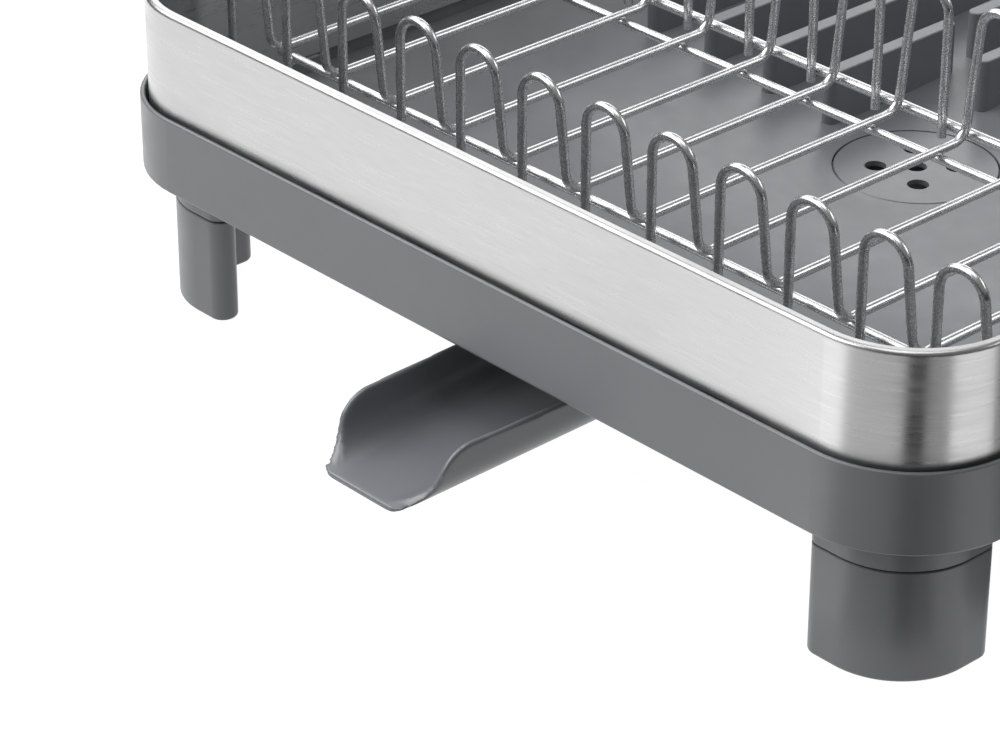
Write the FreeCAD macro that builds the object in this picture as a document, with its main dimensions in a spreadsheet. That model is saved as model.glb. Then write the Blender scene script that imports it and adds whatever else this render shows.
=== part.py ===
"""Dish drying rack: a steel wire rack in a steel band, standing in a plastic drip tray.

The tray drains through a lift-out strainer into a spout that swivels under it.
Millimetres, +Z up. The origin is under the middle of the whole rack, on the floor.
Every sub-part is drawn about the drain's vertical axis and then moved by centre_shift,
because the spout reaches past the tray on one side only.
"""

import math
import os

import FreeCAD
import Part
import Sketcher
from FreeCAD import Placement, Rotation, Vector

doc = FreeCAD.newDocument("dish_rack")
sheet = doc.addObject("Spreadsheet::Sheet", "dims")

DIMENSIONS = {
    # overall plan of the steel band, measured on its outer faces
    "band_width": 360.0,
    "band_depth": 402.0,
    "band_corner": 36.0,
    "band_bottom": 58.7,
    "band_top": 111.0,
    "band_sheet": 1.0,
    "band_bend": 1.4,
    "band_lip": 3.4,
    # drip tray
    "tray_gap": 1.2,
    "tray_wall": 1.7,
    "tray_bottom": 48.3,
    "tray_top": 75.0,
    "tray_floor_edge": 53.0,
    "tray_floor_low": 43.0,
    "tray_floor_thick": 2.5,
    "sump_under": 38.5,
    "sump_half": 31.0,
    "below_depth": 22.0,
    "rib_top": 63.0,
    "rib_width": 5.8,
    "rib_far_end": 178.0,
    "rib_start_middle": 46.0,
    "rib_start_beside": 0.5,
    "channel_width": 10.0,
    "channel_y": 69.5,
    "rest_length": 18.0,
    "rest_depth": 4.5,
    "rest_bite": 0.4,
    "rest_gap": 0.3,
    "rest_x": 100.0,
    "rest_y": 120.0,
    # feet
    "foot_inset": 11.0,
    "foot_arm": 39.0,
    "foot_thick": 10.0,
    "foot_corner": 26.0,
    "foot_height": 36.7,
    "foot_gap": 0.6,
    "peg_radius": 3.0,
    "peg_top": 44.0,
    "peg_from_end": 9.0,
    # drain: strainer, collar and its retaining ring
    "strainer_radius": 27.75,
    "strainer_seat": 28.3,
    "strainer_thick": 1.9,
    "strainer_hole": 3.7,
    "strainer_spread": 9.6,
    "drain_radius": 20.0,
    "drain_depth": 20.0,
    "collar_radius": 24.0,
    "collar_bottom": 29.5,
    "groove_radius": 22.8,
    "ring_bottom": 30.8,
    "ring_thick": 2.0,
    "ring_radius": 27.5,
    "ring_sweep": 335.0,
    # swivel spout
    "spout_reach": 246.2,
    "spout_tip_low": 14.0,
    "spout_slope": 2.5,
    "spout_rim": 33.2,
    "spout_tip_half": 23.5,
    "spout_hub_radius": 32.6,
    "spout_hub_half": 31.6,
    "spout_hub_step": 0.3,
    "spout_wall": 2.2,
    "spout_tip_corner": 12.0,
    "spout_hub_corner": 8.0,
    "spout_lip_run": 24.5,
    "spout_tip_round": 10.0,
    "spout_tip_square": 22.3,
    "spout_top": 38.2,
    "running_fit": 0.05,
    # wires
    "pitch": 28.5,
    "drain_column": 4.19,
    "first_column": -1,
    "last_column": 10,
    "wire_diameter": 3.1,
    "rod_diameter": 3.6,
    "weld_gap": 0.03,
    "cross_height": 83.5,
    "near_rod_height": 71.2,
    "far_rod_height": 84.1,
    "near_leg_end": 68.0,
    "far_leg_end": 80.9,
    "near_plane": -155.6,
    "far_plane": -37.3,
    "near_long_y": -149.3,
    "far_long_y": -49.0,
    "near_hoop_top": 117.8,
    "far_hoop_top": 129.8,
    "base_bend": 5.7,
    # legs and slants of the hoops, in pitches from the cross run
    "near_leg": 0.72,
    "near_slant": 0.16,
    "far_slant": 0.156,
    "far_leg": 0.66,
    # from the drain's axis to the middle of the whole footprint
    "centre_shift": 21.15,
}

for row, (alias, value) in enumerate(DIMENSIONS.items(), start=1):
    sheet.set(f"A{row}", alias)
    sheet.set(f"B{row}", str(value))
    sheet.setAlias(f"B{row}", alias)
doc.recompute()


def dim(alias):
    """One driving dimension, read back from the sheet."""
    return float(getattr(sheet, alias))


def dim_of(formula):
    """The present value of an expression on the sheet."""
    result = sheet.evalExpression(formula.replace("dims.", ""))
    return float(result)


def shift_to_middle(obj):
    """Move a finished sub-part from the drain's axis to the row frame."""
    obj.setExpression("Placement.Base.y", "dims.centre_shift")


# ---------------------------------------------------------------- sketch helpers


def new_body(label):
    body = doc.addObject("PartDesign::Body", label)
    body.Label = label
    return body


def plane_of(body, role):
    return next(f for f in body.Origin.OriginFeatures if f.Role == role)


def new_sketch(body, name, role="XY_Plane", level=None):
    """A sketch on one of the body's own planes, lifted along its normal by an expression."""
    sketch = body.newObject("Sketcher::SketchObject", name)
    sketch.AttachmentSupport = [(plane_of(body, role), "")]
    sketch.MapMode = "FlatFace"
    if level is not None:
        sketch.setExpression(".AttachmentOffset.Base.z", level)
    return sketch


def close_chain(sketch, count, first=0):
    """Join a ring of edges end to start."""
    for i in range(count):
        following = first + (i + 1) % count
        sketch.addConstraint(Sketcher.Constraint("Coincident", first + i, 2, following, 1))


def rounded_rectangle(sketch, half_x, half_y, radius):
    """Centred rounded rectangle whose half sizes and radius are expressions."""
    for name, formula in (("half_x", half_x), ("half_y", half_y), ("radius", radius)):
        sketch.addProperty("App::PropertyFloat", name)
        sketch.setExpression(name, formula)
    doc.recompute()
    hx, hy, r = sketch.half_x, sketch.half_y, sketch.radius
    corners = [(hx - r, hy - r, 0), (r - hx, hy - r, 90), (r - hx, r - hy, 180), (hx - r, r - hy, 270)]
    arcs = []
    for cx, cy, start in corners:
        circle = Part.Circle(Vector(cx, cy, 0), Vector(0, 0, 1), r)
        arcs.append(Part.ArcOfCircle(circle, math.radians(start), math.radians(start + 90)))
    for i, arc in enumerate(arcs):
        sketch.addGeometry(arc, False)
        sketch.addGeometry(Part.LineSegment(arc.EndPoint, arcs[(i + 1) % 4].StartPoint), False)
    for i in range(8):
        sketch.addConstraint(Sketcher.Constraint("Tangent", i, 2, (i + 1) % 8, 1))
    for line in (1, 5):
        sketch.addConstraint(Sketcher.Constraint("Horizontal", line))
    for line in (3, 7):
        sketch.addConstraint(Sketcher.Constraint("Vertical", line))
    for arc in (2, 4, 6):
        sketch.addConstraint(Sketcher.Constraint("Equal", 0, arc))
    sketch.addConstraint(Sketcher.Constraint("Symmetric", 1, 1, 5, 1, -1, 1))
    driving = [
        (Sketcher.Constraint("Radius", 0, r), "corner", "radius"),
        (Sketcher.Constraint("DistanceX", -1, 1, 0, 1, hx), "reach_x", "half_x"),
        (Sketcher.Constraint("DistanceY", -1, 1, 0, 2, hy), "reach_y", "half_y"),
    ]
    for constraint, name, source in driving:
        index = sketch.addConstraint(constraint)
        sketch.renameConstraint(index, name)
        sketch.setExpression(f"Constraints.{name}", source)
    return sketch


def circle_sketch(body, name, level, radius, centre=(0.0, 0.0)):
    sketch = new_sketch(body, name, level=level)
    sketch.addGeometry(Part.Circle(Vector(*centre, 0), Vector(0, 0, 1), dim_of(radius)), False)
    index = sketch.addConstraint(Sketcher.Constraint("Radius", 0, dim_of(radius)))
    sketch.renameConstraint(index, "size")
    sketch.setExpression("Constraints.size", radius)
    return sketch


def polygon(sketch, points):
    """A closed outline of straight edges through 2-D points."""
    for i, point in enumerate(points):
        following = points[(i + 1) % len(points)]
        sketch.addGeometry(Part.LineSegment(Vector(*point, 0), Vector(*following, 0)), False)
    close_chain(sketch, len(points))
    return sketch


def pad(body, sketch, length, reverse=False, name="Pad"):
    feature = body.newObject("PartDesign::Pad", name)
    feature.Profile = sketch
    feature.setExpression("Length", length)
    feature.Reversed = reverse
    body.Tip = feature
    return feature


def pocket(body, sketch, length, upwards=False, name="Pocket"):
    """Cut down from the sketch, or up from it, and check that material really went."""
    doc.recompute()
    before = body.Shape.Volume
    feature = body.newObject("PartDesign::Pocket", name)
    feature.Profile = sketch
    feature.setExpression("Length", length)
    feature.Reversed = upwards
    body.Tip = feature
    doc.recompute()
    if body.Shape.Volume > before - 1e-3:
        raise RuntimeError(f"{body.Label}: {name} cut nothing")
    return feature


def loft(body, first, second, subtract=False):
    kind = "PartDesign::SubtractiveLoft" if subtract else "PartDesign::AdditiveLoft"
    feature = body.newObject(kind, "Loft")
    feature.Profile = first
    feature.Sections = [second]
    feature.Ruled = True
    body.Tip = feature
    return feature


def revolve(body, points, angle=360.0):
    """Turn a closed (radius, height) outline about Z."""
    sketch = polygon(new_sketch(body, "turned_outline", "XZ_Plane"), points)
    feature = body.newObject("PartDesign::Revolution", "Revolution")
    feature.Profile = sketch
    feature.ReferenceAxis = (sketch, ["V_Axis"])
    feature.Angle = angle
    body.Tip = feature
    return feature


def fillet_edges(body, radius, chosen, name="Fillet"):
    """Round the edges of the present shape that the test picks."""
    doc.recompute()
    base = body.Tip
    names = [f"Edge{i}" for i, edge in enumerate(base.Shape.Edges, start=1) if chosen(edge)]
    if not names:
        raise RuntimeError(f"{body.Label}: {name} picks no edge")
    feature = body.newObject("PartDesign::Fillet", name)
    feature.Base = (base, names)
    feature.Radius = radius
    body.Tip = feature
    return feature


def edge_at_height(height):
    def test(edge):
        box = edge.BoundBox
        return abs(box.ZMin - height) < 1e-4 and abs(box.ZMax - height) < 1e-4

    return test


# ---------------------------------------------------------------- steel band


def build_band():
    """One steel sheet round all four sides, with its top edge bent inwards as a lip."""
    body = new_body("steel_band")
    path = new_sketch(body, "band_path")
    rounded_rectangle(path, "dims.band_width / 2", "dims.band_depth / 2", "dims.band_corner")
    outer = dim("band_width") / 2
    sheet_thick = dim("band_sheet")
    bend = dim("band_bend")
    top, bottom = dim("band_top"), dim("band_bottom")
    lip_edge = outer - dim("band_lip")
    centre = (outer - bend, top - bend)
    inner_bend = bend - sheet_thick
    edge_round = sheet_thick / 2
    profile = new_sketch(body, "band_profile", "XZ_Plane")

    def arc_about(centre_at, radius, start, end):
        circle = Part.Circle(Vector(*centre_at, 0), Vector(0, 0, 1), radius)
        return Part.ArcOfCircle(circle, math.radians(start), math.radians(end))

    edges = [
        Part.LineSegment(Vector(outer, bottom, 0), Vector(outer, centre[1], 0)),
        arc_about(centre, bend, 0, 90),
        Part.LineSegment(Vector(centre[0], top, 0), Vector(lip_edge + edge_round, top, 0)),
        arc_about((lip_edge + edge_round, top - edge_round), edge_round, 90, 270),
        Part.LineSegment(Vector(lip_edge + edge_round, top - sheet_thick, 0),
                         Vector(centre[0], top - sheet_thick, 0)),
        arc_about(centre, inner_bend, 0, 90),
        Part.LineSegment(Vector(outer - sheet_thick, centre[1], 0), Vector(outer - sheet_thick, bottom, 0)),
        Part.LineSegment(Vector(outer - sheet_thick, bottom, 0), Vector(outer, bottom, 0)),
    ]
    for edge in edges:
        profile.addGeometry(edge, False)
    pipe = body.newObject("PartDesign::AdditivePipe", "band_sweep")
    pipe.Profile = profile
    pipe.Spine = path
    body.Tip = pipe
    return body


# ---------------------------------------------------------------- drip tray

TRAY_HALF_X = "dims.band_width / 2 + dims.tray_gap + dims.tray_wall"
TRAY_HALF_Y = "dims.band_depth / 2 + dims.tray_gap + dims.tray_wall"
TRAY_CORNER = "dims.band_corner + dims.tray_gap + dims.tray_wall"
INSIDE_HALF_X = "dims.band_width / 2 + dims.tray_gap"
INSIDE_HALF_Y = "dims.band_depth / 2 + dims.tray_gap"
INSIDE_CORNER = "dims.band_corner + dims.tray_gap"
RIB_COLUMNS = [side * (step + 0.5) for step in range(5) for side in (-1, 1)]
SUMP_CORNER = "dims.sump_half - 2"


def inside_outline(body, name, level, inset=0.0):
    sketch = new_sketch(body, name, level=level)
    return rounded_rectangle(sketch, f"{INSIDE_HALF_X} - {inset}", f"{INSIDE_HALF_Y} - {inset}",
                             f"{INSIDE_CORNER} - {inset}")


def sump_outline(body, name, level):
    sketch = new_sketch(body, name, level=level)
    return rounded_rectangle(sketch, "dims.sump_half", "dims.sump_half", SUMP_CORNER)


def rib_start(column):
    """The two middle ribs begin behind the strainer, the others beside it."""
    return dim("rib_start_middle") if abs(column) < 1 else dim("rib_start_beside")


def slot_outline(sketch, x, low, high, half):
    """A bar outline along Y with round ends."""
    near_y, far_y = low + half, high - half
    near = Part.Circle(Vector(x, near_y, 0), Vector(0, 0, 1), half)
    far = Part.Circle(Vector(x, far_y, 0), Vector(0, 0, 1), half)
    edges = [
        Part.LineSegment(Vector(x + half, near_y, 0), Vector(x + half, far_y, 0)),
        Part.ArcOfCircle(far, 0, math.pi),
        Part.LineSegment(Vector(x - half, far_y, 0), Vector(x - half, near_y, 0)),
        Part.ArcOfCircle(near, math.pi, 2 * math.pi),
    ]
    for edge in edges:
        sketch.addGeometry(edge, False)


def add_ribs(body):
    """Raised bars over the far half, those beside the middle cut through by a cross channel."""
    half = dim("rib_width") / 2
    gap_low = dim("channel_y") - dim("channel_width") / 2
    gap_high = dim("channel_y") + dim("channel_width") / 2
    sketch = new_sketch(body, "rib_outlines", level="dims.rib_top")
    for column in RIB_COLUMNS:
        x = column * dim("pitch")
        start, end = rib_start(column), dim("rib_far_end")
        if abs(column) < 2:
            slot_outline(sketch, x, start, gap_low, half)
            slot_outline(sketch, x, gap_high, end, half)
        else:
            slot_outline(sketch, x, start, end, half)
    pad(body, sketch, "dims.rib_top - dims.tray_floor_low + 1", reverse=True, name="ribs")
    fillet_edges(body, 0.6, edge_at_height(dim("rib_top")), "rib_edges")


def add_rests(body):
    """Small blocks inside the wall, which the band stands on."""
    rest_top = "dims.band_bottom - dims.rest_gap"
    long, deep = dim("rest_length") / 2, dim("rest_depth") / 2
    beside_x = dim_of(INSIDE_HALF_X) + dim("rest_bite") - deep
    beside_y = dim_of(INSIDE_HALF_Y) + dim("rest_bite") - deep
    sketch = new_sketch(body, "rest_outlines", level=rest_top)
    first = 0
    for sx in (-1, 1):
        for sy in (-1, 1):
            first = add_block(sketch, sx * dim("rest_x"), sy * beside_y, long, deep, first)
            first = add_block(sketch, sx * beside_x, sy * dim("rest_y"), deep, long, first)
    pad(body, sketch, f"{rest_top} - dims.tray_floor_edge + 1.5", reverse=True, name="rests")


def add_block(sketch, x, y, half_x, half_y, first):
    """A closed rectangle round a middle point, whose first edge has the given number."""
    corners = [(x - half_x, y - half_y), (x + half_x, y - half_y),
               (x + half_x, y + half_y), (x - half_x, y + half_y)]
    for i in range(4):
        start, end = corners[i], corners[(i + 1) % 4]
        sketch.addGeometry(Part.LineSegment(Vector(*start, 0), Vector(*end, 0)), False)
    close_chain(sketch, 4, first)
    return first + 4


def foot_outline(sketch, sx, sy, shrink=0.0):
    """L-shaped plan of a foot, and of the boss above it, in the corner with signs sx, sy."""
    out_x = dim_of(TRAY_HALF_X) - dim("foot_inset") - shrink
    out_y = dim_of(TRAY_HALF_Y) - dim("foot_inset") - shrink
    thick = dim("foot_thick") - 2 * shrink
    radius = dim("foot_corner") - shrink
    arm = dim("foot_arm") - 2 * shrink
    cx, cy = out_x - radius, out_y - radius
    tip_x, tip_y = out_x - arm, out_y - arm
    end = thick / 2
    inner = radius - thick
    diagonal = math.sqrt(0.5)
    runs = [
        [(tip_x + end, out_y), (cx, out_y)],
        [(cx, out_y), (cx + radius * diagonal, cy + radius * diagonal), (out_x, cy)],
        [(out_x, cy), (out_x, tip_y + end)],
        [(out_x, tip_y + end), (out_x - end, tip_y), (out_x - thick, tip_y + end)],
        [(out_x - thick, tip_y + end), (out_x - thick, cy)],
        [(out_x - thick, cy), (cx + inner * diagonal, cy + inner * diagonal), (cx, out_y - thick)],
        [(cx, out_y - thick), (tip_x + end, out_y - thick)],
        [(tip_x + end, out_y - thick), (tip_x, out_y - end), (tip_x + end, out_y)],
    ]
    for run in runs:
        points = [Vector(sx * x, sy * y, 0) for x, y in run]
        if len(points) == 2:
            sketch.addGeometry(Part.LineSegment(*points), False)
        else:
            sketch.addGeometry(Part.Arc(*points), False)
    return sketch


def peg_places(sx, sy):
    """Two pegs a foot, one in each arm."""
    out_x = dim_of(TRAY_HALF_X) - dim("foot_inset")
    out_y = dim_of(TRAY_HALF_Y) - dim("foot_inset")
    along = dim("foot_arm") - dim("peg_from_end")
    middle = dim("foot_thick") / 2
    return [(sx * (out_x - along), sy * (out_y - middle)), (sx * (out_x - middle), sy * (out_y - along))]


CORNERS = {"near_left": (-1, -1), "near_right": (1, -1), "far_left": (-1, 1), "far_right": (1, 1)}


def build_tray():
    shell = new_body("tray_shell")
    outline = new_sketch(shell, "tray_outline", level="dims.tray_bottom")
    rounded_rectangle(outline, TRAY_HALF_X, TRAY_HALF_Y, TRAY_CORNER)
    pad(shell, outline, "dims.tray_top - dims.tray_bottom", name="tray_block")
    fillet_edges(shell, 1.2, edge_at_height(dim("tray_bottom")), "foot_of_wall")
    inside = inside_outline(shell, "inside_outline", "dims.tray_top")
    pocket(shell, inside, "dims.tray_top - dims.tray_floor_edge", name="inside")
    fillet_edges(shell, 0.7, edge_at_height(dim("tray_top")), "rim_edges")
    under_high = inside_outline(shell, "under_high", "dims.tray_floor_edge - dims.tray_floor_thick", 4.0)
    loft(shell, under_high, sump_outline(shell, "under_low", "dims.sump_under"))
    floor_high = inside_outline(shell, "floor_high", "dims.tray_floor_edge", 5.0)
    floor_low = sump_outline(shell, "floor_low", "dims.tray_floor_low")
    loft(shell, floor_high, floor_low, subtract=True)
    add_ribs(shell)
    add_rests(shell)
    seat = circle_sketch(shell, "strainer_seat", "dims.tray_floor_low", "dims.strainer_seat")
    pocket(shell, seat, "dims.strainer_thick + 0.1", name="seat")
    drain = circle_sketch(shell, "drain_hole", "dims.tray_floor_low", "dims.drain_radius")
    pocket(shell, drain, "dims.drain_depth", name="drain")

    below = new_body("space_below_floor")
    block = inside_outline(below, "below_outline", "dims.tray_bottom - dims.below_depth", 0.3)
    block_height = "dims.below_depth + dims.tray_floor_edge - dims.tray_floor_thick - dims.tray_bottom"
    pad(below, block, block_height, name="below_block")
    keep_high = inside_outline(below, "keep_high", "dims.tray_floor_edge - dims.tray_floor_thick", 4.0)
    loft(below, keep_high, sump_outline(below, "keep_low", "dims.sump_under"), subtract=True)

    trimmed = doc.addObject("Part::Cut", "tray_trimmed")
    trimmed.Base = shell
    trimmed.Tool = below

    under = new_body("tray_underside")
    bosses = new_sketch(under, "boss_outlines", level="dims.foot_height + dims.foot_gap")
    for sx, sy in CORNERS.values():
        foot_outline(bosses, sx, sy)
    boss_height = ("dims.tray_floor_edge - dims.tray_floor_thick + 0.6"
                   " - dims.foot_height - dims.foot_gap")
    pad(under, bosses, boss_height, name="bosses")
    sockets = new_sketch(under, "socket_outlines", level="dims.foot_height + dims.foot_gap")
    for sx, sy in CORNERS.values():
        for x, y in peg_places(sx, sy):
            hole = Part.Circle(Vector(x, y, 0), Vector(0, 0, 1), dim("peg_radius") + 0.02)
            sockets.addGeometry(hole, False)
    pocket(under, sockets, "dims.peg_top - dims.foot_height - dims.foot_gap", upwards=True, name="sockets")

    collar = new_body("tray_collar")
    groove_low = dim("ring_bottom") - 0.1
    groove_high = dim("ring_bottom") + dim("ring_thick") + 0.1
    bore, wall = dim("drain_radius"), dim("collar_radius")
    collar_top = dim("sump_under") + 1.0
    revolve(collar, [
        (bore, dim("collar_bottom")), (wall, dim("collar_bottom")), (wall, groove_low),
        (dim("groove_radius"), groove_low), (dim("groove_radius"), groove_high),
        (wall, groove_high), (wall, collar_top), (bore, collar_top),
    ])

    tray = doc.addObject("Part::MultiFuse", "drip_tray")
    tray.Shapes = [trimmed, under, collar]
    tray.Label = "drip_tray"
    return tray


def build_foot(place, signs):
    """A corner foot, which plugs into its boss with two pegs."""
    sx, sy = signs
    body = new_body(f"foot_{place}")
    pad(body, foot_outline(new_sketch(body, "foot_plan"), sx, sy), "dims.foot_height", name="foot_block")
    fillet_edges(body, 1.4, edge_at_height(0.0), "floor_edges")
    fillet_edges(body, 0.5, edge_at_height(dim("foot_height")), "top_edges")
    pegs = new_sketch(body, "peg_outlines", level="dims.foot_height - 2")
    for x, y in peg_places(sx, sy):
        pegs.addGeometry(Part.Circle(Vector(x, y, 0), Vector(0, 0, 1), dim("peg_radius")), False)
    pad(body, pegs, "dims.peg_top - dims.foot_height + 2", name="pegs")
    return body


# ---------------------------------------------------------------- drain and spout


def build_strainer():
    """Round lift-out strainer with five holes, centred by a short skirt in the drain."""
    body = new_body("drain_strainer")
    top = dim("tray_floor_low")
    bottom = top - dim("strainer_thick")
    rim = dim("strainer_radius")
    skirt_out = dim("drain_radius") - 0.25
    skirt_in = skirt_out - 1.5
    skirt_low = bottom - 3.0
    bevel = 0.35
    revolve(body, [
        (0, bottom), (skirt_in, bottom), (skirt_in, skirt_low), (skirt_out, skirt_low),
        (skirt_out, bottom), (rim, bottom), (rim, top - bevel), (rim - bevel, top), (0, top),
    ])
    spread = dim("strainer_spread")
    holes = new_sketch(body, "strainer_holes", level="dims.tray_floor_low")
    centres = [(0.0, 0.0)] + [(sx * spread, sy * spread) for sx in (-1, 1) for sy in (-1, 1)]
    for x, y in centres:
        holes.addGeometry(Part.Circle(Vector(x, y, 0), Vector(0, 0, 1), dim("strainer_hole")), False)
    pocket(body, holes, "dims.strainer_thick + 1", name="holes")
    return body


def build_ring():
    """Split ring in the collar's groove, which keeps the spout's hub up."""
    body = new_body("spout_retaining_ring")
    low = dim("ring_bottom")
    high = low + dim("ring_thick")
    inner = dim("groove_radius") + 0.05
    outer = dim("ring_radius")
    revolve(body, [(inner, low), (outer, low), (outer, high), (inner, high)], dim("ring_sweep"))
    return body


def trough_section(body, name, reach, half, low, high, corner):
    """U-shaped section across the spout at a given reach from its pivot."""
    sketch = body.newObject("Sketcher::SketchObject", name)
    sketch.AttachmentSupport = [(plane_of(body, "XZ_Plane"), "")]
    sketch.MapMode = "FlatFace"
    sketch.AttachmentOffset = Placement(Vector(0, 0, reach), Rotation())
    quarter = math.pi / 2
    right = Part.Circle(Vector(half - corner, low + corner, 0), Vector(0, 0, 1), corner)
    left = Part.Circle(Vector(corner - half, low + corner, 0), Vector(0, 0, 1), corner)
    edges = [
        Part.LineSegment(Vector(corner - half, low, 0), Vector(half - corner, low, 0)),
        Part.ArcOfCircle(right, 3 * quarter, 4 * quarter),
        Part.LineSegment(Vector(half, low + corner, 0), Vector(half, high, 0)),
        Part.LineSegment(Vector(half, high, 0), Vector(-half, high, 0)),
        Part.LineSegment(Vector(-half, high, 0), Vector(-half, low + corner, 0)),
        Part.ArcOfCircle(left, 2 * quarter, 3 * quarter),
    ]
    for edge in edges:
        sketch.addGeometry(edge, False)
    return sketch


def build_spout():
    """Open trough under a round hub that turns on the tray's collar."""
    body = new_body("swivel_spout")
    reach, wall = dim("spout_reach"), dim("spout_wall")
    tip_low = dim("spout_tip_low")
    hub_low = tip_low + reach * math.tan(math.radians(dim("spout_slope")))
    rim, tip_half, hub = dim("spout_rim"), dim("spout_tip_half"), dim("spout_hub_radius")
    hub_half, step = dim("spout_hub_half"), dim("spout_hub_step")
    tip_corner, hub_corner = dim("spout_tip_corner"), dim("spout_hub_corner")
    at_hub = trough_section(body, "outer_hub", 0.0, hub_half, hub_low, rim, hub_corner)
    at_tip = trough_section(body, "outer_tip", reach, tip_half, tip_low, rim, tip_corner)
    loft(body, at_hub, at_tip)
    hub_disc = new_sketch(body, "hub_disc", level="dims.spout_rim")
    hub_disc.addGeometry(Part.Circle(Vector(0, 0, 0), Vector(0, 0, 1), hub), False)
    pad(body, hub_disc, f"dims.spout_rim - {hub_low - step:.4f}", reverse=True, name="hub_block")
    doc.recompute()
    beyond = 1.0
    slope = (hub_low - tip_low) / reach
    taper = (hub_half - tip_half) / reach
    open_top = rim + 5.0
    in_hub = trough_section(body, "inner_hub", 0.0, hub_half - wall, hub_low + wall, open_top,
                            hub_corner - wall / 2)
    in_tip = trough_section(body, "inner_tip", reach + beyond, tip_half - wall - taper * beyond,
                            tip_low + wall - slope * beyond, open_top, tip_corner - wall / 2)
    loft(body, in_hub, in_tip, subtract=True)
    hollow = new_sketch(body, "hub_hollow", level="dims.spout_rim + 5")
    hollow.addGeometry(Part.Circle(Vector(0, 0, 0), Vector(0, 0, 1), hub - wall), False)
    pocket(body, hollow, f"dims.spout_rim + 5 - {hub_low + wall - step:.4f}", name="hub_hollow_cut")
    shape_lip(body, reach, tip_low + wall, rim)
    round_tip(body, reach)
    flange = circle_sketch(body, "hub_flange", "dims.spout_rim", "dims.collar_radius + dims.running_fit")
    flange.addGeometry(Part.Circle(Vector(0, 0, 0), Vector(0, 0, 1), hub), False)
    pad(body, flange, "dims.spout_top - dims.spout_rim", name="hub_flange_plate")
    return body


def shape_lip(body, reach, low, rim):
    """Sweep both rims down to the flat lip in an S made of two equal arcs."""
    run = dim("spout_lip_run")
    half_run, half_drop = run / 2, (rim - low) / 2
    radius = (half_run**2 + half_drop**2) / (2 * half_drop)
    turn = 2 * math.atan2(half_drop, half_run)
    start_x = run - reach
    mid = Vector(start_x - half_run, rim - half_drop, 0)
    upper = Vector(start_x - radius * math.sin(turn / 2), rim - radius * (1 - math.cos(turn / 2)), 0)
    lower = Vector(-reach + radius * math.sin(turn / 2), low + radius * (1 - math.cos(turn / 2)), 0)
    above, beyond = rim + 3.0, -reach - 3.0
    sketch = new_sketch(body, "lip_curve", "YZ_Plane")
    outline = [
        Part.Arc(Vector(start_x, rim, 0), upper, mid),
        Part.Arc(mid, lower, Vector(-reach, low, 0)),
        Part.LineSegment(Vector(-reach, low, 0), Vector(beyond, low, 0)),
        Part.LineSegment(Vector(beyond, low, 0), Vector(beyond, above, 0)),
        Part.LineSegment(Vector(beyond, above, 0), Vector(start_x, above, 0)),
        Part.LineSegment(Vector(start_x, above, 0), Vector(start_x, rim, 0)),
    ]
    for edge in outline:
        sketch.addGeometry(edge, False)
    cut = pocket(body, sketch, "2 * dims.spout_hub_radius", name="lip_cut")
    cut.Midplane = True


def round_tip(body, reach):
    """Round both front corners of the lip as seen from above."""
    radius, square = dim("spout_tip_round"), dim("spout_tip_square")
    outside = dim("spout_hub_radius")
    sketch = new_sketch(body, "tip_corners", level="dims.spout_rim")
    front, back, beyond = -reach, radius - reach, -reach - 3.0
    for side in (-1, 1):
        inner, outer = side * (square - radius), side * square
        middle = radius * math.sqrt(0.5)
        halfway = Vector(inner + side * middle, back - middle, 0)
        far = side * outside
        outline = [
            Part.Arc(Vector(inner, front, 0), halfway, Vector(outer, back, 0)),
            Part.LineSegment(Vector(outer, back, 0), Vector(far, back, 0)),
            Part.LineSegment(Vector(far, back, 0), Vector(far, beyond, 0)),
            Part.LineSegment(Vector(far, beyond, 0), Vector(inner, beyond, 0)),
            Part.LineSegment(Vector(inner, beyond, 0), Vector(inner, front, 0)),
        ]
        for edge in outline:
            sketch.addGeometry(edge, False)
    pocket(body, sketch, "dims.spout_rim - dims.spout_tip_low + 3", name="tip_corner_cut")


# ---------------------------------------------------------------- wires


def bent_path(points, radii):
    """Straight runs through the points, joined by tangent arcs at the inner ones."""
    edges = []
    start = points[0]
    for before, corner, after, radius in zip(points, points[1:], points[2:], radii):
        into = (corner - before).normalize()
        out_of = (after - corner).normalize()
        turn = into.getAngle(out_of)
        tangent = radius * math.tan(turn / 2)
        first = corner - into * tangent
        last = corner + out_of * tangent
        inward = (out_of - into).normalize()
        middle = corner + inward * (radius / math.cos(turn / 2) - radius)
        if start.distanceToPoint(first) > 1e-4:
            edges.append(Part.LineSegment(start, first).toShape())
        edges.append(Part.Arc(first, middle, last).toShape())
        start = last
    edges.append(Part.LineSegment(start, points[-1]).toShape())
    return Part.Wire(edges)


def wire_piece(label, points, radii, diameter):
    """A round wire swept along a bent path."""
    path = doc.addObject("Part::Feature", f"{label}_path")
    path.Shape = bent_path(points, radii)
    section = doc.addObject("Part::Circle", f"{label}_section")
    section.setExpression("Radius", f"{diameter} / 2")
    facing = Rotation(Vector(0, 0, 1), points[1] - points[0])
    section.Placement = Placement(points[0], facing)
    sweep = doc.addObject("Part::Sweep", label)
    sweep.Sections = [section]
    sweep.Spine = (path, [f"Edge{i + 1}" for i in range(len(path.Shape.Edges))])
    sweep.Solid = True
    sweep.Frenet = False
    sweep.Label = label
    return sweep


def hoop_radius(first, second, leg_foot):
    """Largest equal bend at both top corners of a hoop, where its two arcs just meet."""
    across = second - first
    slant = leg_foot - second
    turn = across.getAngle(slant)
    return across.Length / (1 + math.tan(turn / 2))


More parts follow.
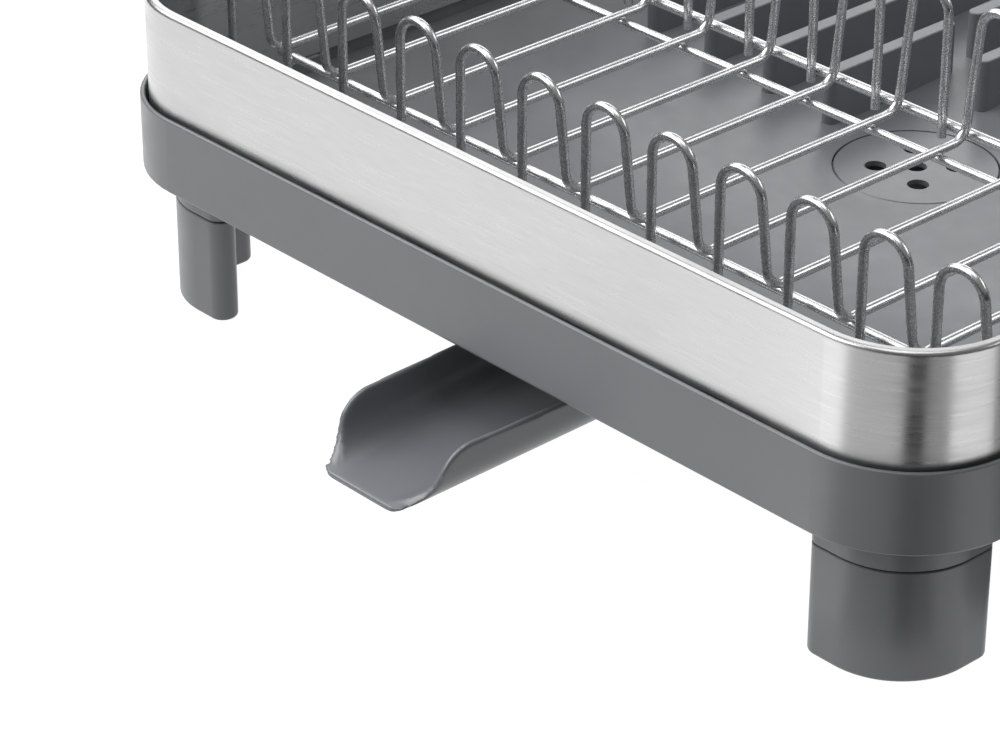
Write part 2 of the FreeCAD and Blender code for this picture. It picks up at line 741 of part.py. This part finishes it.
def build_hoop_wire(label, column, with_far_hoop=True):
    """Low hoop, cross run and tall hoop in one bent wire. The last wire has no tall hoop."""
    pitch = dim("pitch")
    x = (column - dim("drain_column")) * pitch
    near, far = dim("near_plane"), dim("far_plane")
    base = dim("cross_height")
    near_top, far_top = dim("near_hoop_top"), dim("far_hoop_top")
    near_leg = x - dim("near_leg") * pitch
    near_slant = x - dim("near_slant") * pitch
    far_slant = x + dim("far_slant") * pitch
    far_leg = x + dim("far_leg") * pitch
    near_foot = Vector(x, near, base)
    near_first = Vector(near_leg, near, near_top)
    near_second = Vector(near_slant, near, near_top)
    near_bend = hoop_radius(near_first, near_second, near_foot)
    points = [Vector(near_leg, near, dim("near_leg_end")), near_first, near_second, near_foot]
    radii = [near_bend, near_bend, dim("base_bend")]
    if with_far_hoop:
        far_foot = Vector(x, far, base)
        far_first = Vector(far_slant, far, far_top)
        far_second = Vector(far_leg, far, far_top)
        far_bend = hoop_radius(far_second, far_first, far_foot)
        points += [far_foot, far_first, far_second, Vector(far_leg, far, dim("far_leg_end"))]
        radii += [dim("base_bend"), far_bend, far_bend]
    else:
        points.append(Vector(x, far - dim("wire_diameter") / 2, base))
    return wire_piece(label, points, radii, "dims.wire_diameter")


def straight_wire(label, start_x, end_x, y, z, diameter):
    """A straight wire or rod along X."""
    rod = doc.addObject("Part::Cylinder", label)
    rod.setExpression("Radius", f"{diameter} / 2")
    rod.Height = end_x - start_x
    rod.Placement = Placement(Vector(start_x, y, z), Rotation(Vector(0, 1, 0), 90))
    rod.Label = label
    return rod


def build_wires():
    pieces = []
    first, last = int(dim("first_column")), int(dim("last_column"))
    for number, column in enumerate(range(first, last), start=1):
        pieces.append(build_hoop_wire(f"hoop_wire_{number:02d}", column))
    pieces.append(build_hoop_wire("end_wire", last, with_far_hoop=False))
    pitch = dim("pitch")
    wire, rod, gap = dim("wire_diameter"), dim("rod_diameter"), dim("weld_gap")
    left = (first - dim("drain_column")) * pitch - wire
    right = (last - dim("drain_column")) * pitch + wire
    under = dim("cross_height") - wire - gap
    for label, y in (("near_long_wire", dim("near_long_y")), ("far_long_wire", dim("far_long_y"))):
        pieces.append(straight_wire(label, left, right, y, under, "dims.wire_diameter"))
    wall = dim("band_width") / 2 - dim("band_sheet")
    beside = (wire + rod) / 2 + gap
    near_y, far_y = dim("near_plane") - beside, dim("far_plane") + beside
    near_z, far_z = dim("near_rod_height"), dim("far_rod_height")
    for label, y, z in (("near_support_rod", near_y, near_z), ("far_support_rod", far_y, far_z)):
        pieces.append(straight_wire(label, -wall, wall, y, z, "dims.rod_diameter"))
    return pieces


# ---------------------------------------------------------------- build, check and write

pieces = [build_band(), build_tray(), build_strainer(), build_ring(), build_spout()]
pieces += [build_foot(place, signs) for place, signs in CORNERS.items()]
pieces += build_wires()

for piece in pieces:
    if piece.TypeId == "Part::Cylinder":
        piece.setExpression("Placement.Base.y", f"{piece.Placement.Base.y:.4f} + dims.centre_shift")
    else:
        shift_to_middle(piece)
doc.recompute()

for obj in doc.Objects:
    if "Invalid" in obj.State or "Error" in obj.State:
        raise RuntimeError(f"{obj.Label} failed: {obj.State}")

os.makedirs("parts", exist_ok=True)
for piece in pieces:
    shape = piece.Shape
    if shape.isNull() or not shape.isValid() or not shape.Solids:
        raise RuntimeError(f"{piece.Label} has no valid solid")
    shape.exportStep(os.path.join("parts", f"{piece.Label}.step"))
    box = shape.BoundBox
    print(f"{piece.Label}: {len(shape.Solids)} solid, {shape.Volume / 1000:.2f} cm3, "
          f"z {box.ZMin:.2f} to {box.ZMax:.2f}")
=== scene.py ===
"""A dish drying rack: brushed steel band, wire plate hoops, ribbed drip tray, corner feet and drain spout."""

import math
import random

import bmesh
import bpy
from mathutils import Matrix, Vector


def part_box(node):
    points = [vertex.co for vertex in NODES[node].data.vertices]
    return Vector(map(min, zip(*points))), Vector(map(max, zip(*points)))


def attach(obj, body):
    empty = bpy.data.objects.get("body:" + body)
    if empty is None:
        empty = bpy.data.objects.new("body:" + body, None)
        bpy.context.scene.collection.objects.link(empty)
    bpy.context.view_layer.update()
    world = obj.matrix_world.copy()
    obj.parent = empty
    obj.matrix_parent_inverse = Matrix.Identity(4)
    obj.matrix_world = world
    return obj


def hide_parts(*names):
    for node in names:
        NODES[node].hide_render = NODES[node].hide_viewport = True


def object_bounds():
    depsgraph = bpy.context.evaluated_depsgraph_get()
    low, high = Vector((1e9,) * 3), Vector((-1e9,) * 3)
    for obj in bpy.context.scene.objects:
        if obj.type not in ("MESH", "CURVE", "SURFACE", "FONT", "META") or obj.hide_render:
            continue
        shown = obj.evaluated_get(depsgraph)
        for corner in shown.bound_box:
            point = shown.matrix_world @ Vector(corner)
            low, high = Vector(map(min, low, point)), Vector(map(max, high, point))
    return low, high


bl_info = {
    "name": "Dish Drying Rack",
    "version": (1, 0, 0),
    "blender": (4, 5, 0),
    "location": "View3D > Sidebar > Dish Rack",
    "description": "Finishes, welds, spout and studio for a dish drying rack",
    "category": "Object",
}

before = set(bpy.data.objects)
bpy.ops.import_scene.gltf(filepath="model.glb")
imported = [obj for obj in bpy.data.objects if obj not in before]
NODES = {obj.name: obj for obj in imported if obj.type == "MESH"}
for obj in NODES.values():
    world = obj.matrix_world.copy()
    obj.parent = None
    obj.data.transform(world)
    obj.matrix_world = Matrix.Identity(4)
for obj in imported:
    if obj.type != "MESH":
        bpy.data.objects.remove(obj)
CAD_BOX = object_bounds()

HOOPS = sorted(n for n in NODES if n.startswith("hoop_wire_"))
LONG_WIRES = ("near_long_wire", "far_long_wire")
NEAR_ROD = "near_support_rod"
RODS = (NEAR_ROD, "far_support_rod")
WIRES = HOOPS + ["end_wire", *LONG_WIRES, *RODS]
FEET = ("foot_near_left", "foot_near_right", "foot_far_left", "foot_far_right")

SPOUT_SMOOTHING_PASSES = 8

# rings along a weld, sides round it, how far its waist draws in, and its corners (1 is a plain oval)
WELD_RINGS = 9
WELD_SIDES = 14
WELD_WAIST = 0.12
WELD_SQUARENESS = 0.8
WELD_SEED = 11


# ---- sizes and colours a user would change -------------------------------------------------

class PlasticSettings(bpy.types.PropertyGroup):
    """Colours and texture of the moulded plastic"""

    tray_colour: bpy.props.FloatVectorProperty(
        name="Tray Colour", description="Plastic of the drip tray and its strainer",
        subtype="COLOR", size=3, min=0.0, max=1.0, default=(0.176, 0.180, 0.196))
    # the feet's plastic is made darker than the tray's: painted shade on the feet
    foot_colour_painted_shade: bpy.props.FloatVectorProperty(
        name="Foot Colour", description="Plastic of the four feet",
        subtype="COLOR", size=3, min=0.0, max=1.0, default=(0.155, 0.158, 0.174))
    # the spout's plastic is made lighter than the tray's: painted light on the spout
    spout_colour_painted_light: bpy.props.FloatVectorProperty(
        name="Spout Colour", description="Plastic of the drain spout",
        subtype="COLOR", size=3, min=0.0, max=1.0, default=(0.192, 0.196, 0.214))
    roughness: bpy.props.FloatProperty(
        name="Roughness", description="How matt the plastic is",
        subtype="FACTOR", min=0.0, max=1.0, default=0.36)
    grain_size: bpy.props.FloatProperty(
        name="Grain Size", description="Width of one bump of the moulded grain",
        subtype="DISTANCE", unit="LENGTH", min=0.0001, max=0.005, default=0.0007)
    edge_step: bpy.props.FloatProperty(
        name="Edge Step", description="Step of the grid that rounds the spout's moulded edges",
        subtype="DISTANCE", unit="LENGTH", min=0.0003, max=0.003, default=0.0007)


class SteelSettings(bpy.types.PropertyGroup):
    """Colour and brushing of the steel"""

    band_colour: bpy.props.FloatVectorProperty(
        name="Band Colour", description="Brushed sheet of the band",
        subtype="COLOR", size=3, min=0.0, max=1.0, default=(0.57, 0.57, 0.57))
    wire_colour: bpy.props.FloatVectorProperty(
        name="Wire Colour", description="Polished wire of the hoops and rods",
        subtype="COLOR", size=3, min=0.0, max=1.0, default=(0.76, 0.76, 0.77))
    band_roughness: bpy.props.FloatProperty(
        name="Band Roughness", description="How much the brushing blurs what the band mirrors",
        subtype="FACTOR", min=0.0, max=1.0, default=0.30)
    wire_roughness: bpy.props.FloatProperty(
        name="Wire Roughness", description="How much the wires blur what they mirror",
        subtype="FACTOR", min=0.0, max=1.0, default=0.27)
    brush_width: bpy.props.FloatProperty(
        name="Brush Line Width", description="Height of one brush line on the band",
        subtype="DISTANCE", unit="LENGTH", min=0.00005, max=0.005, default=0.00035)
    brush_length: bpy.props.FloatProperty(
        name="Brush Line Length", description="Run of one brush line along the band",
        subtype="DISTANCE", unit="LENGTH", min=0.001, max=0.2, default=0.010)


class WeldSettings(bpy.types.PropertyGroup):
    """Size of the weld at each wire crossing"""

    length: bpy.props.FloatProperty(
        name="Weld Length", description="Length of the weld along the lower wire",
        subtype="DISTANCE", unit="LENGTH", min=0.001, max=0.01, default=0.0042)
    width: bpy.props.FloatProperty(
        name="Weld Width", description="Width of the weld across the lower wire",
        subtype="DISTANCE", unit="LENGTH", min=0.0005, max=0.01, default=0.0021)
    height: bpy.props.FloatProperty(
        name="Weld Height", description="Height of the weld",
        subtype="DISTANCE", unit="LENGTH", min=0.0003, max=0.01, default=0.0016)


class StudioSettings(bpy.types.PropertyGroup):
    """Where the camera and the lights stand"""

    azimuth: bpy.props.FloatProperty(
        name="Camera Azimuth", description="Turn of the camera round the rack",
        subtype="ANGLE", unit="ROTATION", default=math.radians(47.62))
    elevation: bpy.props.FloatProperty(
        name="Camera Elevation", description="Height of the camera above the horizon",
        subtype="ANGLE", unit="ROTATION", default=math.radians(29.12))
    distance: bpy.props.FloatProperty(
        name="Camera Distance", description="From the camera to the point it looks at",
        subtype="DISTANCE", unit="LENGTH", default=1.0183)
    lens: bpy.props.FloatProperty(
        name="Lens", description="Focal length of the camera in millimetres",
        subtype="DISTANCE_CAMERA", default=138.0)
    aim_left: bpy.props.FloatProperty(
        name="Aim Left", description="From the band's right side to the point looked at",
        subtype="DISTANCE", unit="LENGTH", default=0.0780)
    aim_forward: bpy.props.FloatProperty(
        name="Aim Forward", description="From the band's near side to the point looked at",
        subtype="DISTANCE", unit="LENGTH", default=0.0806)
    key_brightness: bpy.props.FloatProperty(
        name="Key Brightness", description="Brightness of the large soft light at the front left",
        subtype="FACTOR", min=0.0, max=20.0, default=2.6)
    top_brightness: bpy.props.FloatProperty(
        name="Top Brightness", description="Brightness of the soft light overhead",
        subtype="FACTOR", min=0.0, max=20.0, default=1.5)
    back_brightness: bpy.props.FloatProperty(
        name="Back Brightness", description="Brightness of the soft light behind the rack",
        subtype="FACTOR", min=0.0, max=20.0, default=1.35)
    side_brightness: bpy.props.FloatProperty(
        name="Side Brightness", description="Brightness of the small soft light at the right",
        subtype="FACTOR", min=0.0, max=20.0, default=1.8)
    room_light: bpy.props.FloatProperty(
        name="Room Light", description="Strength of the even light from the room",
        subtype="FACTOR", min=0.0, max=2.0, default=0.20)
    floor_glow: bpy.props.FloatProperty(
        name="Floor Glow", description="How strongly the lit table top shines back",
        subtype="FACTOR", min=0.0, max=4.0, default=0.97)


# ---- the stage's sizes, in metres, with azimuths and elevations in degrees -------------------

# name, brightness setting, azimuth, elevation, distance, width and height
SOFT_LIGHTS = (
    ("key_light", "key_brightness", -52.0, 38.0, 1.8, 2.2, 1.5),
    ("top_light", "top_brightness", 0.0, 86.0, 1.5, 0.9, 1.2),
    ("back_light", "back_brightness", 227.0, 30.0, 1.7, 1.5, 0.8),
    ("side_light", "side_brightness", 138.0, 38.0, 1.6, 0.9, 0.5),
)

TABLE_TOP_REACH = 12.0
TABLE_TOP_DROP = 0.0005
TABLE_TOP_COLOUR = (0.22, 0.22, 0.22)

# name, first and last azimuth round the near right corner, and glow
FLAGS = (
    ("white_flag", -36.0, -13.0, 1.50),
    ("grey_flag", -12.0, 39.0, 0.66),
    ("dark_flag", 39.0, 56.0, 0.02),
    ("slate_flag", 56.0, 77.0, 0.40),
    ("rear_flag", 117.0, 175.0, 0.24),
)
BAND_CORNER_RADIUS = 0.036
FLAG_START = 0.050
FLAG_REACH = 0.90
FLAG_HEIGHT = 0.45
FLAG_LIFT = 0.0002
FLAG_STEPS = 12
FLAG_COLOUR = (0.01, 0.01, 0.01)

# the low dark strip that the band's rolled edge mirrors
RIM_FLAG_AZIMUTHS = (-100.0, 140.0)
RIM_FLAG_DISTANCE = 0.85
RIM_FLAG_HEIGHT = 0.42
RIM_FLAG_LIFT = 0.0004
RIM_FLAG_GLOW = 0.01


# ---- materials ---------------------------------------------------------------------------

class Finish:
    """A new material and short calls to add and join its nodes"""

    def __init__(self, name):
        self.material = bpy.data.materials.new(name)
        self.material.use_nodes = True
        self.tree = self.material.node_tree
        self.shader = self.tree.nodes["Principled BSDF"]
        self.place = self.tree.nodes.new("ShaderNodeTexCoord").outputs["Object"]

    def join(self, source, socket):
        self.tree.links.new(source, socket)

    def noise(self, size, detail=2.0, stretch=(1.0, 1.0, 1.0)):
        """Noise whose blotches are about `size` metres wide, stretched along each axis"""
        mapping = self.tree.nodes.new("ShaderNodeMapping")
        mapping.inputs["Scale"].default_value = [1.0 / s for s in stretch]
        node = self.tree.nodes.new("ShaderNodeTexNoise")
        node.inputs["Scale"].default_value = 1.0 / size
        node.inputs["Detail"].default_value = detail
        self.join(self.place, mapping.inputs["Vector"])
        self.join(mapping.outputs["Vector"], node.inputs["Vector"])
        return node.outputs["Fac"]

    def between(self, source, low, high, clip=(0.3, 0.7)):
        """The noise mapped to a range of numbers"""
        node = self.tree.nodes.new("ShaderNodeMapRange")
        node.inputs["From Min"].default_value, node.inputs["From Max"].default_value = clip
        node.inputs["To Min"].default_value = low
        node.inputs["To Max"].default_value = high
        self.join(source, node.inputs["Value"])
        return node.outputs["Result"]

    def tint(self, source, dark, light, clip=(0.3, 0.7)):
        """The noise mapped to colours from dark to light"""
        node = self.tree.nodes.new("ShaderNodeValToRGB")
        first, last = node.color_ramp.elements
        first.position, last.position = clip
        first.color = (*dark, 1.0)
        last.color = (*light, 1.0)
        self.join(source, node.inputs["Fac"])
        return node.outputs["Color"]

    def bump(self, source, depth, strength, before=None):
        """A bump of that depth in metres, on top of an earlier one"""
        node = self.tree.nodes.new("ShaderNodeBump")
        node.inputs["Distance"].default_value = depth
        node.inputs["Strength"].default_value = strength
        self.join(source, node.inputs["Height"])
        if before is not None:
            self.join(before, node.inputs["Normal"])
        return node.outputs["Normal"]


def shade(colour, factor):
    return tuple(min(1.0, c * factor) for c in colour)


def moulded_plastic(name, colour, settings, gloss=0.0):
    """Semi-matt plastic with a fine moulded grain, faint flow clouds and slightly uneven gloss"""
    finish = Finish(name)
    clouds = finish.noise(size=0.045, detail=3.0)
    grain = finish.noise(size=settings.grain_size, detail=2.0)
    rubbed = finish.noise(size=0.007, detail=4.0)
    shader = finish.shader
    finish.join(finish.tint(clouds, shade(colour, 0.96), shade(colour, 1.04)), shader.inputs["Base Color"])
    rough = settings.roughness - gloss
    finish.join(finish.between(rubbed, rough - 0.035, rough + 0.035), shader.inputs["Roughness"])
    fine = finish.bump(grain, depth=0.00003, strength=0.35)
    finish.join(finish.bump(rubbed, depth=0.00006, strength=0.20, before=fine), shader.inputs["Normal"])
    shader.inputs["Specular IOR Level"].default_value = 0.85
    return finish.material


def brushed_steel(name, colour, settings):
    """Sheet steel brushed level along the band"""
    finish = Finish(name)
    run = settings.brush_length / settings.brush_width
    lines = finish.noise(settings.brush_width, detail=3.0, stretch=(run, run, 1.0))
    bands = finish.noise(settings.brush_width * 5.0, detail=2.0, stretch=(run * 0.6, run * 0.6, 1.0))
    handled = finish.noise(size=0.03, detail=2.0)
    shader = finish.shader
    finish.join(finish.tint(lines, shade(colour, 0.96), shade(colour, 1.04)), shader.inputs["Base Color"])
    rough = settings.band_roughness
    finish.join(finish.between(bands, rough - 0.05, rough + 0.06), shader.inputs["Roughness"])
    fine = finish.bump(lines, depth=0.000006, strength=0.14)
    wide = finish.bump(bands, depth=0.00001, strength=0.08, before=fine)
    finish.join(finish.bump(handled, depth=0.0001, strength=0.05, before=wide), shader.inputs["Normal"])
    shader.inputs["Metallic"].default_value = 1.0
    shader.inputs["Anisotropic"].default_value = 0.6
    shader.inputs["Anisotropic Rotation"].default_value = 0.25
    return finish.material


def polished_wire(name, colour, settings):
    """Drawn steel wire, tumbled to a satin polish"""
    finish = Finish(name)
    pits = finish.noise(size=0.0006, detail=3.0)
    drawn = finish.noise(size=0.006, detail=3.0)
    shader = finish.shader
    finish.join(finish.tint(drawn, shade(colour, 0.93), shade(colour, 1.07)), shader.inputs["Base Color"])
    rough = settings.wire_roughness
    finish.join(finish.between(pits, rough - 0.02, rough + 0.03), shader.inputs["Roughness"])
    fine = finish.bump(pits, depth=0.000003, strength=0.06)
    finish.join(finish.bump(drawn, depth=0.00002, strength=0.03, before=fine), shader.inputs["Normal"])
    shader.inputs["Metallic"].default_value = 1.0
    return finish.material


def softened_copy(node, name, step, passes):
    """A copy of a CAD piece with its sharp moulded edges rounded off, built on a grid of that step"""
    piece = bpy.data.objects.new(name, node.data.copy())
    bpy.context.scene.collection.objects.link(piece)
    piece.data.materials.clear()
    remesh = piece.modifiers.new("even_grid", "REMESH")
    remesh.mode = "VOXEL"
    remesh.voxel_size = step
    remesh.use_smooth_shade = True
    soften = piece.modifiers.new("round_edges", "SMOOTH")
    soften.factor = 0.5
    soften.iterations = passes
    shaped = piece.evaluated_get(bpy.context.evaluated_depsgraph_get())
    mesh = bpy.data.meshes.new_from_object(shaped)
    piece.modifiers.clear()
    piece.data = mesh
    mesh.name = name
    return piece


def dress(names, material):
    """Gives those CAD nodes the material in every slot, adding a slot where they have none"""
    for name in names:
        node = NODES[name]
        if not node.material_slots:
            node.data.materials.append(material)
        for entry in node.material_slots:
            entry.material = material


# ---- the pieces --------------------------------------------------------------------------

class RACK_OT_drip_tray(bpy.types.Operator):
    """Finish the drip tray, its drain strainer and the spout's retaining ring in moulded plastic"""

    bl_idname = "rack.drip_tray"
    bl_label = "Drip Tray"

    def execute(self, context):
        plastic = context.scene.rack_plastic
        tray = moulded_plastic("tray_plastic", plastic.tray_colour, plastic)
        strainer = moulded_plastic("strainer_plastic", shade(plastic.tray_colour, 0.98), plastic, gloss=0.05)
        dress(["drip_tray"], tray)
        dress(["drain_strainer"], strainer)
        dress(["spout_retaining_ring"], tray)
        return {"FINISHED"}


class RACK_OT_feet(bpy.types.Operator):
    """Finish the four feet in moulded plastic"""

    bl_idname = "rack.feet"
    bl_label = "Feet"

    def execute(self, context):
        plastic = context.scene.rack_plastic
        # the feet's darker colour is painted shade
        dress(FEET, moulded_plastic("foot_plastic", plastic.foot_colour_painted_shade, plastic))
        return {"FINISHED"}


class RACK_OT_spout(bpy.types.Operator):
    """Finish the swivelling drain spout"""

    bl_idname = "rack.spout"
    bl_label = "Drain Spout"

    def execute(self, context):
        plastic = context.scene.rack_plastic
        # the spout's lighter colour is painted light
        finish = moulded_plastic("spout_plastic", plastic.spout_colour_painted_light, plastic, gloss=0.04)
        spout = softened_copy(NODES["swivel_spout"], "drain_spout", plastic.edge_step, SPOUT_SMOOTHING_PASSES)
        spout.data.materials.append(finish)
        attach(spout, "spout")
        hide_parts("swivel_spout")
        return {"FINISHED"}


class RACK_OT_band(bpy.types.Operator):
    """Finish the steel band in level brushing"""

    bl_idname = "rack.band"
    bl_label = "Steel Band"

    def execute(self, context):
        steel = context.scene.rack_steel
        dress(["steel_band"], brushed_steel("band_steel", steel.band_colour, steel))
        return {"FINISHED"}


class RACK_OT_wires(bpy.types.Operator):
    """Finish the hoops, long wires and rods in satin wire"""

    bl_idname = "rack.wires"
    bl_label = "Wires"

    def execute(self, context):
        steel = context.scene.rack_steel
        dress(WIRES, polished_wire("wire_steel", steel.wire_colour, steel))
        return {"FINISHED"}


class RACK_OT_welds(bpy.types.Operator):
    """Make the welds where the hoops cross the long wires and where they meet the rods"""

    bl_idname = "rack.welds"
    bl_label = "Welds"

    def execute(self, context):
        weld = context.scene.rack_weld
        mesh = bmesh.new()
        chance = random.Random(WELD_SEED)
        for long_wire in LONG_WIRES:
            low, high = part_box(long_wire)
            along = (low.y + high.y) / 2
            for wire in HOOPS + ["end_wire"]:
                left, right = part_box(wire)
                middle = Vector(((left.x + right.x) / 2, along, high.z))
                weld_bead(mesh, middle, weld, chance)
        for rod in RODS:
            low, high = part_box(rod)
            inside = high.y if rod == NEAR_ROD else low.y
            for wire in HOOPS:
                left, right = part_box(wire)
                middle = Vector(((left.x + right.x) / 2, inside, (low.z + high.z) / 2))
                weld_bead(mesh, middle, weld, chance)
        data = bpy.data.meshes.new("wire_welds")
        mesh.to_mesh(data)
        mesh.free()
        welds = bpy.data.objects.new("wire_welds", data)
        context.scene.collection.objects.link(welds)
        data.materials.append(bpy.data.materials["wire_steel"])
        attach(welds, "rack")
        return {"FINISHED"}


def weld_bead(mesh, middle, weld, chance):
    """Adds a low bead with a pinched waist, drawn out along the lower wire"""
    loops = []
    for i in range(WELD_RINGS):
        t = -1.0 + 2.0 * (i + 0.5) / WELD_RINGS
        waist = 1.0 - WELD_WAIST * math.cos(math.pi * t) * chance.uniform(0.7, 1.0)
        swell = math.sqrt(1.0 - t * t) * waist
        loop = []
        for j in range(WELD_SIDES):
            angle = 2.0 * math.pi * j / WELD_SIDES
            across = math.copysign(abs(math.cos(angle)) ** WELD_SQUARENESS, math.cos(angle))
            upward = math.copysign(abs(math.sin(angle)) ** WELD_SQUARENESS, math.sin(angle))
            offset = Vector((t * weld.length, across * weld.width * swell, upward * weld.height * swell)) / 2
            loop.append(mesh.verts.new(middle + offset))
        loops.append(loop)
    for first, second in zip(loops, loops[1:]):
        for j in range(WELD_SIDES):
            after = (j + 1) % WELD_SIDES
            face = (first[j], first[after], second[after], second[j])
            mesh.faces.new(face).smooth = True
    mesh.faces.new(list(reversed(loops[0]))).smooth = True
    mesh.faces.new(loops[-1]).smooth = True


# ---- the studio --------------------------------------------------------------------------

def direction(azimuth, elevation):
    """From the rack outwards. Azimuth 0 is the near side and 90 the right; both are in radians"""
    level = math.cos(elevation)
    return Vector((math.sin(azimuth) * level, -math.cos(azimuth) * level, math.sin(elevation)))


def soft_light(name, target, azimuth, elevation, distance, width, height, brightness):
    """A rectangular soft light that faces the target. Its angles are in degrees"""
    data = bpy.data.lights.new(name, "AREA")
    data.shape = "RECTANGLE"
    data.size = width
    data.size_y = height
    data.energy = brightness * 4.0 * width * height
    light = bpy.data.objects.new(name, data)
    away = direction(math.radians(azimuth), math.radians(elevation))
    light.location = target + away * distance
    light.rotation_mode = "QUATERNION"
    light.rotation_quaternion = away.to_track_quat("Z", "Y")
    light.visible_camera = False
    bpy.context.scene.collection.objects.link(light)


def plain_finish(name, colour, glow):
    """An even, matt, softly glowing surface for the table top and the flags"""
    finish = Finish(name)
    speckle = finish.noise(size=0.5)
    finish.join(finish.tint(speckle, shade(colour, 0.98), colour), finish.shader.inputs["Base Color"])
    finish.shader.inputs["Roughness"].default_value = 0.9
    finish.shader.inputs["Specular IOR Level"].default_value = 0.0
    finish.shader.inputs["Emission Color"].default_value = (1.0, 1.0, 1.0, 1.0)
    finish.shader.inputs["Emission Strength"].default_value = glow
    return finish.material


class RACK_OT_studio(bpy.types.Operator):
    """Make the table top, the soft lights and the camera"""

    bl_idname = "rack.studio"
    bl_label = "Studio"

    def execute(self, context):
        studio = context.scene.rack_studio
        scene = context.scene
        low, high = CAD_BOX
        middle = (low + high) / 2
        self.make_table_top(scene, middle, low.z, studio.floor_glow)
        self.make_flags(scene, low.z)
        self.make_room(scene, studio.room_light)
        for name, setting, azimuth, elevation, distance, width, height in SOFT_LIGHTS:
            brightness = getattr(studio, setting)
            soft_light(name, middle, azimuth, elevation, distance, width, height, brightness)
        self.make_camera(scene, studio)
        scene.view_settings.view_transform = "Standard"
        return {"FINISHED"}

    def make_table_top(self, scene, middle, height, glow):
        mesh = bmesh.new()
        reach = TABLE_TOP_REACH
        level = height - TABLE_TOP_DROP
        corners = [(-reach, -reach), (reach, -reach), (reach, reach), (-reach, reach)]
        mesh.faces.new([mesh.verts.new((middle.x + x, middle.y + y, level)) for x, y in corners])
        top = self.link_stage(scene, "table_top", mesh)
        top.data.materials.append(plain_finish("table_top_white", TABLE_TOP_COLOUR, glow))

    def make_flags(self, scene, height):
        """Cards round the near right corner, which the band mirrors as upright soft bars"""
        low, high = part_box("steel_band")
        corner = Vector((high.x - BAND_CORNER_RADIUS, low.y + BAND_CORNER_RADIUS, height))
        for name, start, end, glow in FLAGS:
            levels = ((FLAG_START, FLAG_LIFT), (FLAG_REACH, FLAG_LIFT), (FLAG_REACH, FLAG_HEIGHT))
            self.make_flag(scene, name, corner, (start, end), levels, glow)
        levels = ((RIM_FLAG_DISTANCE, RIM_FLAG_LIFT), (RIM_FLAG_DISTANCE, RIM_FLAG_HEIGHT))
        self.make_flag(scene, "rim_flag", corner, RIM_FLAG_AZIMUTHS, levels, RIM_FLAG_GLOW)

    def make_flag(self, scene, name, centre, azimuths, levels, glow):
        """A card swept round the centre. Each level is a distance from it and a height"""
        start, end = azimuths
        mesh = bmesh.new()
        rows = []
        for distance, height in levels:
            row = []
            for i in range(FLAG_STEPS + 1):
                azimuth = math.radians(start + (end - start) * i / FLAG_STEPS)
                point = centre + direction(azimuth, 0.0) * distance
                row.append(mesh.verts.new((point.x, point.y, point.z + height)))
            rows.append(row)
        for first, second in zip(rows, rows[1:]):
            for i in range(FLAG_STEPS):
                mesh.faces.new((first[i], first[i + 1], second[i + 1], second[i]))
        flag = self.link_stage(scene, name, mesh)
        flag.data.materials.append(plain_finish(name, FLAG_COLOUR, glow))
        flag.visible_camera = False
        flag.visible_shadow = False

    def link_stage(self, scene, name, mesh):
        data = bpy.data.meshes.new(name)
        mesh.to_mesh(data)
        mesh.free()
        piece = bpy.data.objects.new(name, data)
        piece.visible_diffuse = False
        scene.collection.objects.link(piece)
        return piece

    def make_room(self, scene, strength):
        room = bpy.data.worlds.new("room")
        room.use_nodes = True
        background = room.node_tree.nodes["Background"]
        background.inputs["Color"].default_value = (1.0, 1.0, 1.0, 1.0)
        background.inputs["Strength"].default_value = strength
        scene.world = room

    def make_camera(self, scene, studio):
        data = bpy.data.cameras.new("camera")
        data.sensor_width = 36.0
        data.lens = studio.lens
        data.clip_start, data.clip_end = 0.05, 50.0
        camera = bpy.data.objects.new("camera", data)
        band_low, band_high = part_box("steel_band")
        target = Vector((band_high.x - studio.aim_left, band_low.y - studio.aim_forward, band_high.z))
        away = direction(studio.azimuth, studio.elevation)
        camera.location = target + away * studio.distance
        camera.rotation_mode = "QUATERNION"
        camera.rotation_quaternion = (-away).to_track_quat("-Z", "Y")
        scene.collection.objects.link(camera)
        scene.camera = camera


# ---- add-on ------------------------------------------------------------------------------

OPERATORS = (RACK_OT_drip_tray, RACK_OT_feet, RACK_OT_spout, RACK_OT_band, RACK_OT_wires,
             RACK_OT_welds, RACK_OT_studio)
SETTINGS = {"rack_plastic": PlasticSettings, "rack_steel": SteelSettings,
            "rack_weld": WeldSettings, "rack_studio": StudioSettings}


class RACK_PT_pieces(bpy.types.Panel):
    """Lists the rack's pieces and their settings"""

    bl_idname = "RACK_PT_pieces"
    bl_label = "Dish Rack"
    bl_space_type = "VIEW_3D"
    bl_region_type = "UI"
    bl_category = "Dish Rack"

    def draw(self, context):
        for operator in OPERATORS:
            self.layout.operator(operator.bl_idname)
        for name in SETTINGS:
            box = self.layout.box()
            group = getattr(context.scene, name)
            for setting in group.__annotations__:
                box.prop(group, setting)


def register():
    for group in SETTINGS.values():
        bpy.utils.register_class(group)
    for operator in OPERATORS:
        bpy.utils.register_class(operator)
    bpy.utils.register_class(RACK_PT_pieces)
    for name, group in SETTINGS.items():
        setattr(bpy.types.Scene, name, bpy.props.PointerProperty(type=group))


def unregister():
    for name in SETTINGS:
        delattr(bpy.types.Scene, name)
    bpy.utils.unregister_class(RACK_PT_pieces)
    for operator in reversed(OPERATORS):
        bpy.utils.unregister_class(operator)
    for group in reversed(list(SETTINGS.values())):
        bpy.utils.unregister_class(group)


def main():
    register()
    bpy.ops.rack.drip_tray()
    bpy.ops.rack.feet()
    bpy.ops.rack.spout()
    bpy.ops.rack.band()
    bpy.ops.rack.wires()
    bpy.ops.rack.welds()
    bpy.ops.rack.studio()


if __name__ == "__main__":
    main()
